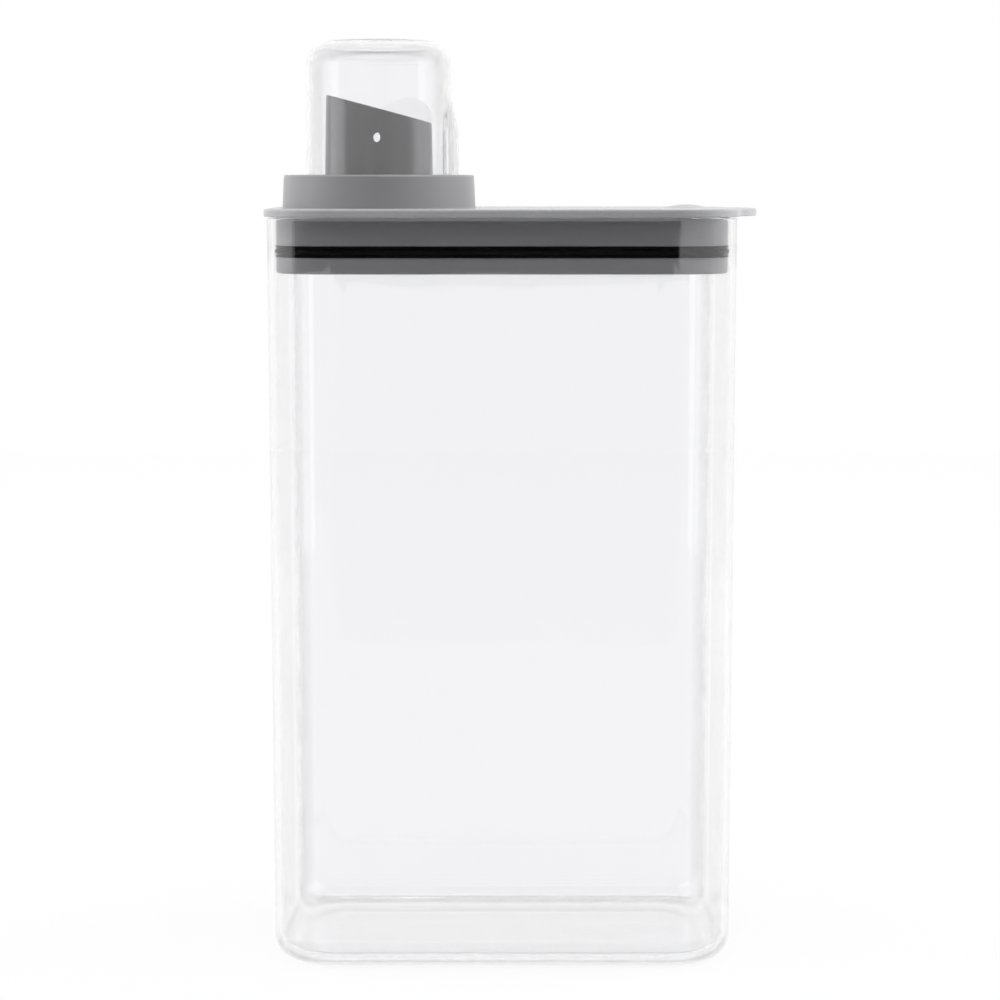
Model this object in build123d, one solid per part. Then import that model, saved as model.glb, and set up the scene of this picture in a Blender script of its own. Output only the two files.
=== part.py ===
from build123d import *
import math
import os

# A clear canister with a press-in lid, a slanted pouring spout and a measuring cup as its cap.
# Millimetres. The base stands on z = 0 with its centre at the origin. X runs from the spout
# towards the finger tab, and Y runs from front to back.

# Container
mouth_width = 142.2
mouth_depth = 97.0
container_height = 227.7
container_draft = 0.26  # degrees that the walls lean outwards
corner_radius = 20.2  # seen from above, outside, at the mouth
wall = 2.2
floor_thickness = 3.0
base_edge_radius = 7.5
floor_edge_radius = 5.3
rim_edge_radius = 1.05

# Lid cover
plate_thickness = 2.4
plate_overhang = 0.9  # past the container's rim
plate_edge_radius = 0.7
plate_lower_edge_radius = 0.4
tab_reach = 7.1  # past the plate's right side
tab_shoulder = 5.9  # straight side of the plate that is left on each side of the tab
tab_blend_radius = 14.0
swell_inset = 14.6  # from the plate's right side to the middle of the thumb swelling
swell_width = 14.0
swell_length = 26.0
swell_height = 1.1
swell_root = 4.9  # from the plate's top down to the middle of the squashed ball it is cut from
locating_rib_depth = 5.0
locating_rib_wall = 1.6

# Lid plug
plug_depth = 16.9  # below the plate
plug_wall = 2.6
plug_lead_radius = 0.8  # round lower edge that guides the plug into the mouth
groove_drop = 8.5  # from the plate to the top of the seal's groove
groove_height = 3.6
groove_depth = 1.3

# Lid seal
main_rib_height = 1.6
main_rib_lip_radius = 0.6
end_rib_height = 0.6
end_rib_lip_radius = 0.2
end_rib_reach = 0.25  # past the plug's side

# Spout
spout_inset = 32.9  # from the mouth's left side to the spout's axis
spout_radius = 16.9  # where it leaves the plate
spout_draft = 1.0  # degrees
spout_wall = 1.5
spout_rise = 30.5  # from the plate's top to the slanted mouth, at the axis
spout_slant = 15.2  # degrees
spout_edge_radius = 0.4
vent_rise = 21.6  # from the plate's top to the middle of the vent holes
vent_width = 2.1  # in front
vent_height = 3.0
back_vent_width = 5.0
back_vent_height = 4.2
flange_width = 4.3  # past the spout's side
flange_thickness = 1.8
snap_depth = 0.6  # how far the collar's floor bites into the spout
spout_seal_thickness = 1.2
spout_seal_width = 3.2

# Collar
collar_width = 4.4  # from the well to the outside, at the plate
collar_height = 10.2
collar_draft = 2.8  # degrees
collar_wall = 1.8
collar_edge_radius = 0.7
well_wall = 1.5
well_floor = 1.6

# Measuring cup, upside down
cup_headroom = 14.8  # from the spout's tip to the cup's closed end, inside
cup_draft = 0.62  # degrees
cup_wall = 1.5
cup_end_radius = 6.9  # round edge of the closed end, outside
beak_reach = 2.0  # past the cup's side at the mouth
beak_radius = 9.0
beak_straight = 21.3  # from the mouth to where the beak starts to fade
beak_length = 36.0  # from the mouth to where the beak ends
beak_end_depth = 0.5  # how far the beak's end dives under the cup's side
beak_crease_radius = 2.5

# Clearances
plug_gap = 0.7  # from the plug to the container's wall
seal_gap = 0.2  # from the seal's main rib to the container's wall
fit_gap = 0.1  # between fixed pieces of the lid
spout_hole_gap = 0.3  # from the spout to the plate's hole
cup_room = 4.5  # from the spout to the cup's inside, at the mouth
cup_gap = 0.7  # from the beak to the collar's well
slack = 0.01  # how exactly an edge or a corner is looked for

# Places worked out from the sizes above
plate_low = container_height
plate_top = plate_low + plate_thickness
plate_width = mouth_width + 2 * plate_overhang
plate_depth = mouth_depth + 2 * plate_overhang
plate_side = plate_width / 2
plate_corner_radius = corner_radius + plate_overhang
tab_width = plate_depth - 2 * (plate_corner_radius + tab_shoulder)
groove_top = plate_low - groove_drop
groove_low = groove_top - groove_height
plug_inset = wall + plug_gap
spout_offset = mouth_width / 2 - spout_inset
spout_tip = plate_top + spout_rise + spout_radius * math.tan(math.radians(spout_slant))
spout_seal_low = plate_low - spout_seal_thickness
flange_low = spout_seal_low - flange_thickness
flange_radius = spout_radius + flange_width
cup_seat = plate_top + well_floor
cup_radius = spout_radius + cup_room + cup_wall
cup_height = spout_tip - cup_seat + cup_headroom + cup_wall
well_radius = cup_radius + beak_reach + cup_gap
collar_radius = well_radius + collar_width


def lean(height, degrees):
    """How far a wall leans over a height."""
    return height * math.tan(math.radians(degrees))


def mouth_block(inset, low, top, draft=0.0):
    """A block inside or outside the mouth's outline, with walls that lean like the container's."""
    drop = lean(container_height - low, draft)
    outline = RectangleRounded(
        mouth_width - 2 * (inset + drop),
        mouth_depth - 2 * (inset + drop),
        corner_radius - inset - drop,
    )
    return extrude(Pos(0, 0, low) * outline, top - low, taper=-draft)


def mouth_ring(outer_inset, inner_inset, low, top):
    return mouth_block(outer_inset, low, top) - mouth_block(inner_inset, low, top)


def edges_at(part, height):
    """The edges that lie level at one height."""
    return part.edges().filter_by_position(Axis.Z, height - slack, height + slack)


def make_container():
    body = mouth_block(0, 0, container_height, container_draft)
    body = fillet(edges_at(body, 0), base_edge_radius)
    hollow = mouth_block(wall, floor_thickness, container_height, container_draft)
    hollow = fillet(edges_at(hollow, floor_thickness), floor_edge_radius)
    body -= hollow
    return fillet(edges_at(body, container_height), rim_edge_radius)


def plate_outline():
    """The plate seen from above: a rounded rectangle with a bulging finger tab on its right."""
    half_tab = tab_width / 2
    bulge_radius = (half_tab**2 + tab_reach**2) / (2 * tab_reach)
    plate = RectangleRounded(plate_width, plate_depth, plate_corner_radius)
    bulge = Pos(plate_side + tab_reach - bulge_radius, 0) * Circle(bulge_radius)
    half = Pos(plate_side, 0) * Rectangle(2 * tab_reach, tab_width)
    outline = plate + (bulge & half)
    at_side = outline.vertices().filter_by_position(Axis.X, plate_side - slack, plate_side + slack)
    meeting = [corner for corner in at_side if abs(abs(corner.Y) - half_tab) < slack]
    return fillet(meeting, tab_blend_radius)


def thumb_swelling():
    """A low smooth rise, cut from a squashed ball, whose foot is inside the plate."""
    ball_height = swell_root + swell_height
    share = math.sqrt(1 - (swell_root / ball_height) ** 2)  # of the ball's width, at the plate's top
    sides = (swell_width / 2 / share, swell_length / 2 / share, ball_height)
    ball = Pos(0, 0, -swell_root) * scale(Rot(90, 0, 0) * Sphere(1), by=sides)
    foot = plate_thickness / 2
    keep = Pos(0, 0, (ball_height - foot) / 2) * Box(swell_width * 2, swell_length * 2, ball_height + foot)
    return ball & keep


def make_lid_cover():
    plate = extrude(Pos(0, 0, plate_low) * plate_outline(), plate_thickness)
    plate = fillet(edges_at(plate, plate_top), plate_edge_radius)
    plate = fillet(edges_at(plate, plate_low), plate_lower_edge_radius)
    plate += Pos(plate_side - swell_inset, 0, plate_top) * thumb_swelling()
    rib_inset = plug_inset + plug_wall + fit_gap
    rib_low = plate_low - locating_rib_depth
    plate += mouth_ring(rib_inset, rib_inset + locating_rib_wall, rib_low, plate_low)
    hole = Cylinder(spout_radius + spout_hole_gap, 4 * plate_thickness)
    return plate - Pos(-spout_offset, 0, plate_low) * hole


def make_lid_plug():
    low = plate_low - plug_depth
    body = mouth_block(plug_inset, low, plate_low)
    body = fillet(edges_at(body, low), plug_lead_radius)
    body -= mouth_block(plug_inset + plug_wall, low, plate_low)
    return body - mouth_ring(plug_inset - plug_gap, plug_inset + groove_depth, groove_low, groove_top)


def seal_rib(reach_inset, low, height, lip_radius):
    """One rib round the band, with a rounded lip."""
    rib = mouth_block(reach_inset, low, low + height)
    rounded = fillet(edges_at(rib, low) + edges_at(rib, low + height), lip_radius)
    return rounded - mouth_block(plug_inset + groove_depth - fit_gap, low, low + height)


def make_lid_seal():
    low = groove_low + fit_gap
    top = groove_top - fit_gap
    middle = (low + top) / 2
    back = plug_inset + groove_depth - fit_gap
    band = mouth_ring(plug_inset + end_rib_reach, back, low, top)
    main_rib_low = middle - main_rib_height / 2
    band += seal_rib(wall + seal_gap, main_rib_low, main_rib_height, main_rib_lip_radius)
    for rib_low in (low, top - end_rib_height):
        band += seal_rib(plug_inset - end_rib_reach, rib_low, end_rib_height, end_rib_lip_radius)
    return band


def turned(points):
    """A solid turned about the spout's axis from a closed outline of (radius, height) points."""
    outline = make_face(Plane.XZ * Polyline(*points, close=True))
    return Pos(-spout_offset, 0, 0) * revolve(outline, Axis.Z)


def make_spout():
    tip_radius = spout_radius - lean(spout_tip - plate_top, spout_draft)
    bore_radius = spout_radius - spout_wall
    body = turned([
        (bore_radius, flange_low),
        (flange_radius, flange_low),
        (flange_radius, spout_seal_low),
        (spout_radius, spout_seal_low),
        (spout_radius, plate_top),
        (spout_radius - snap_depth, plate_top),
        (spout_radius - snap_depth, cup_seat),
        (spout_radius, cup_seat),
        (tip_radius, spout_tip),
        (tip_radius - spout_wall, spout_tip),
    ])
    cutter = Rot(0, spout_slant, 0) * Pos(0, 0, spout_radius) * Box(
        4 * spout_radius, 4 * spout_radius, 2 * spout_radius
    )
    body -= Pos(-spout_offset, 0, plate_top + spout_rise) * cutter
    slanted_rim = body.faces().filter_by(GeomType.PLANE).sort_by(Axis.Z)[-1]
    body = fillet(slanted_rim.edges(), spout_edge_radius)
    front_vent = extrude(Plane.XZ * Ellipse(vent_width / 2, vent_height / 2), 2 * spout_radius)
    back_vent = extrude(Plane.XZ * Ellipse(back_vent_width / 2, back_vent_height / 2), -2 * spout_radius)
    return body - Pos(-spout_offset, 0, plate_top + vent_rise) * (front_vent + back_vent)


def make_spout_seal():
    inner = spout_radius + fit_gap
    outer = inner + spout_seal_width
    return turned([
        (inner, spout_seal_low),
        (outer, spout_seal_low),
        (outer, plate_low),
        (inner, plate_low),
    ])


def make_spout_collar():
    """A hollow ring with a well in it, whose floor clips into the spout and holds it down."""
    top = plate_top + collar_height
    top_radius = collar_radius - lean(collar_height, collar_draft)
    inside_top = top - collar_wall
    well_outer = well_radius + well_wall
    bite_radius = spout_radius - snap_depth + fit_gap
    body = turned([
        (collar_radius, plate_top),
        (top_radius, top),
        (well_radius, top),
        (well_radius, cup_seat),
        (bite_radius, cup_seat),
        (bite_radius, plate_top),
        (well_outer, plate_top),
        (well_outer, inside_top),
        (top_radius - collar_wall, inside_top),
        (collar_radius - collar_wall, plate_top),
    ])
    return fillet(edges_at(body, top), collar_edge_radius)


def cup_form(inset, height):
    """The cup's outside, or its inside when inset by the wall, standing on its mouth."""
    end_radius = cup_radius - inset - lean(cup_height, cup_draft)
    body = Pos(0, 0, height / 2) * Cone(cup_radius - inset, end_radius, height)
    body = fillet(edges_at(body, height), cup_end_radius - inset)
    beak = Circle(beak_radius - inset)
    beak_middle = cup_radius + beak_reach - beak_radius
    beak_end = cup_radius - lean(beak_length, cup_draft) - beak_end_depth - beak_radius
    low = Pos(beak_middle, 0, 0) * beak
    bend = Pos(beak_middle, 0, beak_straight) * beak
    end = Pos(beak_end, 0, beak_length) * beak
    body += extrude(low, beak_straight) + loft([bend, end], ruled=True)
    beak_edges = body.edges().filter_by_position(Axis.Z, slack, beak_length)
    creases = [e for e in beak_edges if e.center().X > beak_middle and abs(e.center().Y) > slack]
    return fillet(creases, beak_crease_radius + inset)


def make_measuring_cup():
    cup = cup_form(0, cup_height) - cup_form(cup_wall, cup_height - cup_wall)
    return Pos(-spout_offset, 0, cup_seat) * cup


makers = {
    "container": make_container,
    "lid_cover": make_lid_cover,
    "lid_plug": make_lid_plug,
    "lid_seal": make_lid_seal,
    "spout_collar": make_spout_collar,
    "spout": make_spout,
    "spout_seal": make_spout_seal,
    "measuring_cup": make_measuring_cup,
}

os.makedirs("parts", exist_ok=True)
for name, maker in makers.items():
    part = maker()
    export_step(part, f"parts/{name}.step")
    print(name, round(part.volume, 1), part.is_valid)
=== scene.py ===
import math
import bpy
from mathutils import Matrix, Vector


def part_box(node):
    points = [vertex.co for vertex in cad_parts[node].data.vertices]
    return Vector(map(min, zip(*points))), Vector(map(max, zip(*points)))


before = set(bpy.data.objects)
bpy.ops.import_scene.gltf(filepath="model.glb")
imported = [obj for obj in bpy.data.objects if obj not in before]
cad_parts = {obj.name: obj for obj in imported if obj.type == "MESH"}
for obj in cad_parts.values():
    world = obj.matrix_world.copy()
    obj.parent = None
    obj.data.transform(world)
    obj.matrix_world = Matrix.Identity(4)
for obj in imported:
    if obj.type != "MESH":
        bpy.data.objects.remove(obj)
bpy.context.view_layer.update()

# A clear canister with a press-in grey lid, a slanted pouring spout and a measuring cup
# over it. Metres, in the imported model's frame: the base stands on z = 0, x runs from the
# spout to the finger tab and y from front to back.

mm = 0.001
scene = bpy.context.scene
scene.view_settings.view_transform = "Standard"

# light runs a long way along the inside of clear walls before it comes out
longWay = 96
scene.cycles.max_bounces = longWay
scene.cycles.glossy_bounces = longWay
scene.cycles.transmission_bounces = longWay // 2
scene.cycles.transparent_max_bounces = longWay // 2


# sRGB hex to linear
def linear(hexColour):
    parts = [int(hexColour[i:i + 2], 16) / 255 for i in (1, 3, 5)]
    return [c / 12.92 if c <= 0.04045 else ((c + 0.055) / 1.055) ** 2.4 for c in parts] + [1.0]


# one shader node with its settings, and its inputs as values or links
def addNode(tree, kind, inputs=None, **settings):
    node = tree.nodes.new(kind)
    for name, value in settings.items():
        setattr(node, name, value)
    for name, value in (inputs or {}).items():
        if isinstance(value, bpy.types.NodeSocket):
            tree.links.new(value, node.inputs[name])
        else:
            node.inputs[name].default_value = value
    return node


def newMaterial(name):
    material = bpy.data.materials.new(name)
    material.use_nodes = True
    material.node_tree.nodes.clear()
    return material, material.node_tree


# every CAD node keeps its mesh and gets the finish in all its material slots
def dress(nodeName, material):
    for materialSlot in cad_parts[nodeName].material_slots:
        materialSlot.material = material


# PET, injection moulded in a polished tool: clear with a faint cool tint, glass-like gloss,
# and walls that are never quite flat, so that what is seen through them swims a little
def clearPet(name, look):
    material, tree = newMaterial(name)
    coords = addNode(tree, "ShaderNodeTexCoord")
    sinkMarks = addNode(
        tree, "ShaderNodeTexNoise",
        {
            "Vector": coords.outputs["Object"],
            "Scale": 1 / look["wavePeriod"],
            "Detail": 1.0,
            "Roughness": 0.4,
        },
    )
    waves = addNode(
        tree, "ShaderNodeBump",
        {
            "Height": sinkMarks.outputs["Fac"],
            "Strength": look["waveStrength"],
            "Distance": look["waveDepth"],
        },
    )
    handling = addNode(
        tree, "ShaderNodeTexNoise",
        {
            "Vector": coords.outputs["Object"],
            "Scale": 1 / look["hazePeriod"],
            "Detail": 4.0,
            "Roughness": 0.6,
        },
    )
    clean, handled = 0.35, 0.75  # noise values where the haze starts and where it is full
    haze = addNode(
        tree, "ShaderNodeMapRange",
        {
            "Value": handling.outputs["Fac"],
            "From Min": clean, "From Max": handled,
            "To Min": look["roughness"], "To Max": look["hazeRoughness"],
        },
    )
    # at a slant the thin wall shows less and less, so that its outline stays soft
    slant = addNode(tree, "ShaderNodeLayerWeight", {"Blend": 0.5})
    facing, turnedAway = 0.25, 0.85
    substance = addNode(
        tree, "ShaderNodeMapRange",
        {
            "Value": slant.outputs["Facing"],
            "From Min": facing, "From Max": turnedAway,
            "To Min": 1.0, "To Max": look["outline"],
        },
    )
    shader = addNode(
        tree, "ShaderNodeBsdfPrincipled",
        {
            "Base Color": linear(look["tint"]),
            "Metallic": 0.0,
            "Roughness": haze.outputs["Result"],
            "IOR": look["ior"],
            "Transmission Weight": 1.0,
            "Alpha": substance.outputs["Result"],
            "Normal": waves.outputs["Normal"],
        },
    )
    addNode(tree, "ShaderNodeOutputMaterial", {"Surface": shader.outputs["BSDF"]})
    return material


# Polypropylene, injection moulded in a spark-eroded tool: satin, with a fine pebble grain,
# a slow cloudiness in the pigment, and corners that handling has rubbed paler
def mouldedPolypropylene(name, look):
    material, tree = newMaterial(name)
    coords = addNode(tree, "ShaderNodeTexCoord")
    clouds = addNode(
        tree, "ShaderNodeTexNoise",
        {"Vector": coords.outputs["Object"], "Scale": 1 / look["cloudPeriod"], "Detail": 3.0},
    )
    pigment = addNode(
        tree, "ShaderNodeMix",
        {
            "Factor": clouds.outputs["Fac"],
            "A": linear(look["darkColour"]),
            "B": linear(look["lightColour"]),
        },
        data_type="RGBA",
    )
    # an edge is where a rounded-off normal turns away from the true one
    softEdges = addNode(tree, "ShaderNodeBevel", {"Radius": look["wearWidth"]}, samples=4)
    geometry = addNode(tree, "ShaderNodeNewGeometry")
    turn = addNode(
        tree, "ShaderNodeVectorMath",
        {0: softEdges.outputs["Normal"], 1: geometry.outputs["Normal"]},
        operation="DOT_PRODUCT",
    )
    flat, edge = 0.995, 0.8
    wear = addNode(
        tree, "ShaderNodeMapRange",
        {
            "Value": turn.outputs["Value"],
            "From Min": flat, "From Max": edge,
            "To Min": 0.0, "To Max": look["wear"],
        },
    )
    worn = addNode(
        tree, "ShaderNodeMix",
        {"Factor": wear.outputs["Result"], "A": pigment.outputs["Result"], "B": linear(look["wornColour"])},
        data_type="RGBA",
    )
    # the real grain is about 0.1 mm and is drawn coarser, so that it shows
    grain = addNode(
        tree, "ShaderNodeTexNoise",
        {"Vector": coords.outputs["Object"], "Scale": 1 / look["grain"], "Detail": 2.0, "Roughness": 0.55},
    )
    pebble = addNode(
        tree, "ShaderNodeBump",
        {"Height": grain.outputs["Fac"], "Strength": look["grainStrength"], "Distance": look["grainDepth"]},
    )
    valley, peak = 0.3, 0.7  # noise values at the bottom and the top of the grain
    glossier, duller = 0.04, 0.06  # what that does to the roughness
    gloss = addNode(
        tree, "ShaderNodeMapRange",
        {
            "Value": grain.outputs["Fac"],
            "From Min": valley, "From Max": peak,
            "To Min": look["roughness"] - glossier, "To Max": look["roughness"] + duller,
        },
    )
    shader = addNode(
        tree, "ShaderNodeBsdfPrincipled",
        {
            "Base Color": worn.outputs["Result"],
            "Metallic": 0.0,
            "Roughness": gloss.outputs["Result"],
            "IOR": look["ior"],
            "Specular IOR Level": look["specular"],
            "Normal": pebble.outputs["Normal"],
        },
    )
    addNode(tree, "ShaderNodeOutputMaterial", {"Surface": shader.outputs["BSDF"]})
    return material


# Silicone rubber, compression moulded: deep colour, soft sheen, and a dust bloom in patches
def siliconeRubber(name, look):
    material, tree = newMaterial(name)
    coords = addNode(tree, "ShaderNodeTexCoord")
    bloom = addNode(
        tree, "ShaderNodeTexNoise",
        {
            "Vector": coords.outputs["Object"],
            "Scale": 1 / look["bloomPeriod"],
            "Detail": 4.0,
            "Roughness": 0.65,
        },
    )
    bare, dusty = 0.45, 0.75  # noise values where the dust starts and where it is full
    dust = addNode(
        tree, "ShaderNodeMapRange",
        {
            "Value": bloom.outputs["Fac"],
            "From Min": bare, "From Max": dusty,
            "To Min": 0.0, "To Max": look["bloom"],
        },
    )
    colour = addNode(
        tree, "ShaderNodeMix",
        {"Factor": dust.outputs["Result"], "A": linear(look["colour"]), "B": linear(look["bloomColour"])},
        data_type="RGBA",
    )
    smooth, dull = 0.3, 0.7
    dustDulls = 0.15  # what the dust adds to the roughness
    sheen = addNode(
        tree, "ShaderNodeMapRange",
        {
            "Value": bloom.outputs["Fac"],
            "From Min": smooth, "From Max": dull,
            "To Min": look["roughness"], "To Max": look["roughness"] + dustDulls,
        },
    )
    dustStrength, dustDepth = 0.15, 0.05 * mm
    skin = addNode(
        tree, "ShaderNodeBump",
        {"Height": bloom.outputs["Fac"], "Strength": dustStrength, "Distance": dustDepth},
    )
    shader = addNode(
        tree, "ShaderNodeBsdfPrincipled",
        {
            "Base Color": colour.outputs["Result"],
            "Roughness": sheen.outputs["Result"],
            "IOR": look["ior"],
            "Specular IOR Level": look["specular"],
            "Normal": skin.outputs["Normal"],
        },
    )
    addNode(tree, "ShaderNodeOutputMaterial", {"Surface": shader.outputs["BSDF"]})
    return material


container = {
    "tint": "#f9f9fa",
    "ior": 1.57,  # PET
    "roughness": 0.01,
    "hazeRoughness": 0.03,
    "hazePeriod": 45 * mm,
    "wavePeriod": 38 * mm,
    "waveStrength": 0.12,
    "waveDepth": 0.6 * mm,
    "outline": 0.2,  # how much of the wall is left where it turns away
}
dress("container", clearPet("clearPetMouldedBody", container))

measuringCup = {
    "tint": "#f9f9fa",
    "ior": 1.57,
    "roughness": 0.012,
    "hazeRoughness": 0.04,
    "hazePeriod": 18 * mm,
    "wavePeriod": 22 * mm,
    "waveStrength": 0.12,
    "waveDepth": 0.3 * mm,
    "outline": 0.35,
}
dress("measuring_cup", clearPet("clearPetMouldedCup", measuringCup))
print("stage: clear pieces")

lid = {
    "darkColour": "#838385",
    "lightColour": "#8d8d8f",
    "wornColour": "#b9b9ba",
    "cloudPeriod": 30 * mm,
    "wearWidth": 0.5 * mm,
    "wear": 0.45,
    "grain": 0.4 * mm,
    "grainStrength": 0.25,
    "grainDepth": 0.05 * mm,
    "roughness": 0.32,
    "ior": 1.49,  # polypropylene
    "specular": 0.5,
}
dress("spout_collar", mouldedPolypropylene("polypropyleneSparkTexturedCollar", lid))

# the plate is wiped most often, and so is a little smoother; its paler grey is painted light, standing in
# for the light that falls on its top
cover = lid | {"darkColour": "#9c9c9e", "lightColour": "#a5a5a7", "roughness": 0.24}
dress("lid_cover", mouldedPolypropylene("polypropyleneSparkTexturedLidPaintedPaler", cover))

# the plug is inside the container, where few hands rub it; its grey is painted paler than the lid's,
# painted light standing in for the light that the clear wall takes from it
plug = lid | {"darkColour": "#949496", "lightColour": "#9e9ea0", "wear": 0.3}
dress("lid_plug", mouldedPolypropylene("polypropyleneSparkTexturedPlugPaintedPaler", plug))

# painted shade: the spout is the lid's grey, painted darker for the shade it stands in under the cup
spout = {
    "darkColour": "#4e4e50",
    "lightColour": "#58585a",
    "wornColour": "#8c8c8e",
    "cloudPeriod": 18 * mm,
    "wearWidth": 0.3 * mm,
    "wear": 0.3,
    "grain": 0.5 * mm,
    "grainStrength": 0.08,
    "grainDepth": 0.03 * mm,
    "roughness": 0.2,
    "ior": 1.49,
    "specular": 0.95,  # polished, and the brightest sheen on the lid
}
dress("spout", mouldedPolypropylene("polypropyleneGlossMouldedSpoutPaintedShade", spout))
print("stage: grey pieces")

blackSeal = {
    "colour": "#060607",
    "bloomColour": "#3a3a3c",
    "bloom": 0.12,
    "bloomPeriod": 4 * mm,
    "roughness": 0.5,
    "ior": 1.41,  # silicone
    "specular": 0.12,  # the dust on it dulls the shine
}
dress("lid_seal", siliconeRubber("siliconeMouldedBlack", blackSeal))

whiteSeal = {
    "colour": "#c9c9c6",
    "bloomColour": "#dededb",
    "bloom": 0.5,
    "bloomPeriod": 3 * mm,
    "roughness": 0.42,
    "ior": 1.41,
    "specular": 0.5,
}
dress("spout_seal", siliconeRubber("siliconeMouldedNatural", whiteSeal))
print("stage: seals")


# Three shares of light, each 0 or 1. Seen light reaches the camera straight or by way of
# mirrors and clear walls, not by way of a dull surface. Mirrored light is seen in a mirror.
# Sheen inside is mirrored by a piece that stands behind a clear wall.
def lightShares(tree):
    path = addNode(tree, "ShaderNodeLightPath").outputs
    mirrorOrCamera = addNode(
        tree, "ShaderNodeMath", {0: path["Is Camera Ray"], 1: path["Is Glossy Ray"]}, operation="MAXIMUM"
    )
    clearAsWell = addNode(
        tree, "ShaderNodeMath",
        {0: mirrorOrCamera.outputs["Value"], 1: path["Is Transmission Ray"]},
        operation="MAXIMUM",
    )
    notDull = addNode(tree, "ShaderNodeMath", {0: path["Diffuse Depth"], 1: 0.5}, operation="LESS_THAN")
    seen = addNode(
        tree, "ShaderNodeMath",
        {0: clearAsWell.outputs["Value"], 1: notDull.outputs["Value"]},
        operation="MULTIPLY",
    )
    mirror = addNode(tree, "ShaderNodeMath", {0: path["Glossy Depth"], 1: 0.5}, operation="GREATER_THAN")
    mirrored = addNode(
        tree, "ShaderNodeMath",
        {0: mirror.outputs["Value"], 1: seen.outputs["Value"]},
        operation="MULTIPLY",
    )
    surfaces = 4  # in through one clear wall and out again
    inside = addNode(
        tree, "ShaderNodeMath", {0: path["Transmission Depth"], 1: surfaces, 2: 0.5}, operation="COMPARE"
    )
    sheenInside = addNode(
        tree, "ShaderNodeMath",
        {0: mirrored.outputs["Value"], 1: inside.outputs["Value"]},
        operation="MULTIPLY",
    )
    return {
        "seen": seen.outputs["Value"],
        "mirrored": mirrored.outputs["Value"],
        "sheenInside": sheenInside.outputs["Value"],
    }


whiteLevel = 1.0  # the room and the lamps as they are seen, also in clear walls

room = {
    "fillFront": 0.03,  # its light on the pieces, from low behind the camera
    "fillRound": 0.5,  # and from the sides, the back and above
    "darkFrom": (0, -0.8, -0.6),
    "darkest": 0.9,  # how near to that direction it is darkest
    "insideFront": 0.8,  # the room behind the camera, in the sheen of pieces inside the clear ones
    "insideFrontEnd": -0.3,  # the room turns from that level to white between these two values of y
    "insideBackStart": 0.5,
}


def whiteRoom(look):
    world = bpy.data.worlds.new("whiteRoom")
    scene.world = world
    world.use_nodes = True
    tree = world.node_tree
    tree.nodes.clear()
    shares = lightShares(tree)
    coords = addNode(tree, "ShaderNodeTexCoord")
    direction = addNode(tree, "ShaderNodeSeparateXYZ", {"Vector": coords.outputs["Generated"]})
    sheenLevel = addNode(
        tree, "ShaderNodeMapRange",
        {
            "Value": direction.outputs["Y"],
            "From Min": look["insideFrontEnd"], "From Max": look["insideBackStart"],
            "To Min": look["insideFront"], "To Max": whiteLevel,
        },
    )
    seenLevel = addNode(
        tree, "ShaderNodeMix",
        {"Factor": shares["sheenInside"], "A": whiteLevel, "B": sheenLevel.outputs["Result"]},
    )
    darkShare = addNode(
        tree, "ShaderNodeVectorMath",
        {0: coords.outputs["Generated"], 1: look["darkFrom"]},
        operation="DOT_PRODUCT",
    )
    fillLevel = addNode(
        tree, "ShaderNodeMapRange",
        {
            "Value": darkShare.outputs["Value"],
            "From Min": 0.0, "From Max": look["darkest"],
            "To Min": look["fillRound"], "To Max": look["fillFront"],
        },
    )
    level = addNode(
        tree, "ShaderNodeMix",
        {"Factor": shares["seen"], "A": fillLevel.outputs["Result"], "B": seenLevel.outputs["Result"]},
    )
    background = addNode(
        tree, "ShaderNodeBackground", {"Color": linear("#ffffff"), "Strength": level.outputs["Result"]}
    )
    addNode(tree, "ShaderNodeOutputWorld", {"Surface": background.outputs["Background"]})


def stageObject(name, mesh):
    piece = bpy.data.objects.new(name, mesh)
    scene.collection.objects.link(piece)
    return piece


def flatCard(name, width, height, place, turn=(0, 0, 0)):
    mesh = bpy.data.meshes.new(name)
    x, y = width / 2, height / 2
    mesh.from_pydata([(-x, -y, 0), (x, -y, 0), (x, y, 0), (-x, y, 0)], [], [(0, 1, 2, 3)])
    card = stageObject(name, mesh)
    card.location = place
    card.rotation_euler = [math.radians(angle) for angle in turn]
    return card


table = {
    "side": 2.4,
    "front": -0.666,
    "top": -0.1 * mm,
    "glow": 0.9,  # as it is seen near the object; further away it turns into the room's white
    "near": 0.35,
    "far": 1.1,
    "farGlow": 0.955,
    "inkColour": "#4b4b4b",  # how strongly a shadow shows on it
    "paperColour": "#bcbcbc",
    "bounce": 0.08,  # more light from the table on the pieces than the lamps give it
}


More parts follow.
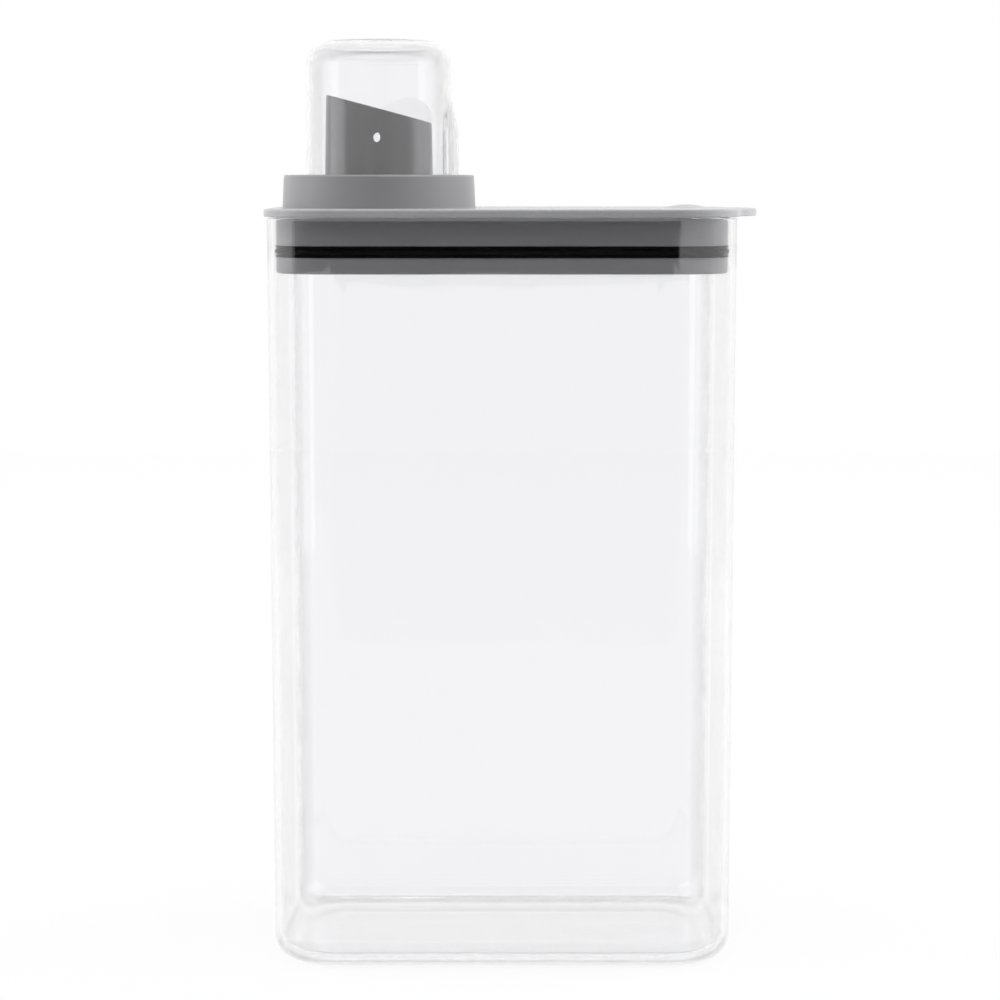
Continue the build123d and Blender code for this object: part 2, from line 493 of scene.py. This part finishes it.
# Paper, uncoated: a dull white that lights the pieces from below, and that the eye sees as
# nearly the room's white with a faint shadow on it
def whiteTable(look):
    side = look["side"]
    sheet = flatCard("table", side, side, (0, look["front"] + side / 2, look["top"]))
    material, tree = newMaterial("matWhitePaper")
    shares = lightShares(tree)
    geometry = addNode(tree, "ShaderNodeNewGeometry")
    distance = addNode(
        tree, "ShaderNodeVectorMath", {0: geometry.outputs["Position"]}, operation="LENGTH"
    )
    glowLevel = addNode(
        tree, "ShaderNodeMapRange",
        {
            "Value": distance.outputs["Value"],
            "From Min": look["near"], "From Max": look["far"],
            "To Min": look["glow"], "To Max": look["farGlow"],
        },
    )
    paper = addNode(tree, "ShaderNodeBsdfDiffuse", {"Color": linear(look["paperColour"])})
    paleInk = addNode(tree, "ShaderNodeBsdfDiffuse", {"Color": linear(look["inkColour"])})
    glow = addNode(tree, "ShaderNodeEmission", {"Strength": glowLevel.outputs["Result"]})
    seenPaper = addNode(
        tree, "ShaderNodeAddShader", {0: paleInk.outputs["BSDF"], 1: glow.outputs["Emission"]}
    )
    bounce = addNode(tree, "ShaderNodeEmission", {"Strength": look["bounce"]})
    litPaper = addNode(
        tree, "ShaderNodeAddShader", {0: paper.outputs["BSDF"], 1: bounce.outputs["Emission"]}
    )
    surface = addNode(
        tree, "ShaderNodeMixShader",
        {0: shares["seen"], 1: litPaper.outputs["Shader"], 2: seenPaper.outputs["Shader"]},
    )
    addNode(tree, "ShaderNodeOutputMaterial", {"Surface": surface.outputs["Shader"]})
    sheet.data.materials.append(material)


# a card that only mirrors show, at one brightness
def showInMirrors(card, brightness):
    card.visible_camera = False
    card.visible_diffuse = False
    card.visible_shadow = False
    material, tree = newMaterial(card.name + "Level")
    shares = lightShares(tree)
    air = addNode(tree, "ShaderNodeBsdfTransparent")
    light = addNode(tree, "ShaderNodeEmission", {"Strength": brightness})
    surface = addNode(
        tree, "ShaderNodeMixShader",
        {0: shares["mirrored"], 1: air.outputs["BSDF"], 2: light.outputs["Emission"]},
    )
    addNode(tree, "ShaderNodeOutputMaterial", {"Surface": surface.outputs["Shader"]})
    card.data.materials.append(material)


# The dark gap between the lights, behind the camera, as the front walls mirror it: pale where
# the body mirrors it, and black at the height that the lid's plug mirrors. The black band runs
# on in an arc round the left corner, because a rounded corner mirrors what lies beside it.
gap = {
    "left": -0.082,
    "right": 0.228,
    "front": table["front"],
    "top": 1.2,
    "level": 0.9,
    "bandLow": 0.186,
    "bandHigh": 0.240,
    "bandLevel": 0.01,
    "bandBefore": 2 * mm,  # before the pale card
    "bandTurn": 72,  # degrees, from straight in front to the left
    "bandSteps": 18,
    "cornerRadius": 20.2 * mm,  # the container's
}


def paleGap(look):
    width = look["right"] - look["left"]
    place = ((look["left"] + look["right"]) / 2, look["front"], look["top"] / 2)
    showInMirrors(flatCard("paleGap", width, look["top"], place, (90, 0, 0)), look["level"])


def blackBand(look):
    left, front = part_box("container")[0][:2]
    cornerX, cornerY = left + look["cornerRadius"], front + look["cornerRadius"]
    bandFront = look["front"] + look["bandBefore"]
    radius = cornerY - bandFront
    line = [(look["right"], bandFront)]
    for step in range(look["bandSteps"] + 1):
        turn = math.radians(look["bandTurn"] * step / look["bandSteps"])
        line.append((cornerX - radius * math.sin(turn), cornerY - radius * math.cos(turn)))
    points = [(x, y, z) for x, y in line for z in (look["bandLow"], look["bandHigh"])]
    faces = [(i, i + 1, i + 3, i + 2) for i in range(0, len(points) - 2, 2)]
    mesh = bpy.data.meshes.new("blackBand")
    mesh.from_pydata(points, [], faces)
    showInMirrors(stageObject("blackBand", mesh), look["bandLevel"])


softBoxes = {
    "leftSoftBox": {"place": (-0.8, 0.1, 0.4), "width": 0.7, "height": 0.9, "light": 4.4},
    "rightSoftBox": {"place": (0.8, 0.15, 0.4), "width": 0.7, "height": 0.9, "light": 5.4},
    "topSoftBox": {"place": (0, -0.35, 1.1), "width": 0.9, "height": 0.7, "light": 3.6},
}
lampAim = (0, 0, 0.15)
lampInside = 2.4  # a lamp in the sheen of pieces inside the clear ones


# a soft box aimed at the object; clear walls show it only as white as the room
def softBox(name, look):
    box = flatCard(name, look["width"], look["height"], look["place"])
    box.rotation_euler = (Vector(lampAim) - Vector(look["place"])).to_track_quat("-Z", "Y").to_euler()
    box.visible_camera = False
    box.visible_shadow = False
    material, tree = newMaterial(name + "Cloth")
    shares = lightShares(tree)
    seenLevel = addNode(
        tree, "ShaderNodeMix", {"Factor": shares["sheenInside"], "A": whiteLevel, "B": lampInside}
    )
    level = addNode(
        tree, "ShaderNodeMix",
        {"Factor": shares["seen"], "A": look["light"], "B": seenLevel.outputs["Result"]},
    )
    glow = addNode(tree, "ShaderNodeEmission", {"Strength": level.outputs["Result"]})
    addNode(tree, "ShaderNodeOutputMaterial", {"Surface": glow.outputs["Emission"]})
    box.data.materials.append(material)


whiteRoom(room)
whiteTable(table)
paleGap(gap)
blackBand(gap)
for boxName, boxLook in softBoxes.items():
    softBox(boxName, boxLook)
print("stage: studio")

# the photograph's view: a long lens a little below the collar's top, tipped down
camera = {
    "place": (-0.0006, -0.960, 0.2396),
    "tipDown": 6.0,  # degrees
    "lens": 110.6,
    "sensor": 36,
}
cameraData = bpy.data.cameras.new("camera")
cameraData.lens = camera["lens"]
cameraData.sensor_width = camera["sensor"]
cameraObject = bpy.data.objects.new("camera", cameraData)
cameraObject.location = camera["place"]
cameraObject.rotation_euler = (math.radians(90 - camera["tipDown"]), 0, 0)
scene.collection.objects.link(cameraObject)
scene.camera = cameraObject
print("stage: camera")

print("stage: done")
